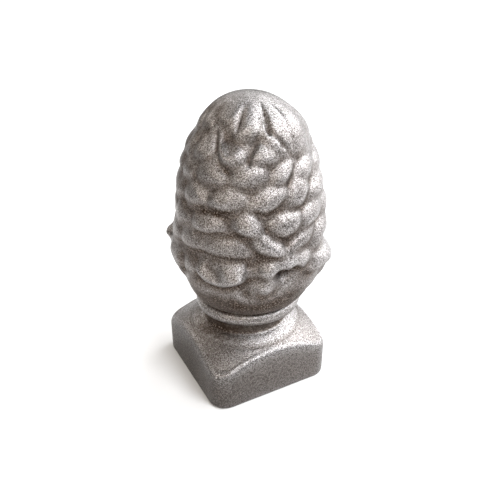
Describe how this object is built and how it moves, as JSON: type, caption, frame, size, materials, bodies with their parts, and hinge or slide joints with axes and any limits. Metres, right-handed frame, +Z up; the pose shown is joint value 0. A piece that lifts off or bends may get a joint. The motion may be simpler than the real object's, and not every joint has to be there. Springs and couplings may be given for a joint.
{
  "type": "pine cone finial",
  "caption": "Cast-iron pine cone finial: overlapping scales above a flared skirt and bulb, on a ring, hollow neck and square block with a low domed top.",
  "frame": {"origin": "centre of the block's flat underside", "axes": "+Z up through the cone, X and Y square to the block's sides, -Y towards the side that faces the viewer on the right in the picture"},
  "size_m": [0.0595, 0.0608, 0.1097],
  "materials": {
    "cast_iron": "bare sand-cast skin, dull metallic shine, brown in the hollows"
  },
  "bodies": {
    "root": {"pine_cone_finial": "cast_iron"}
  },
  "joints": []
}
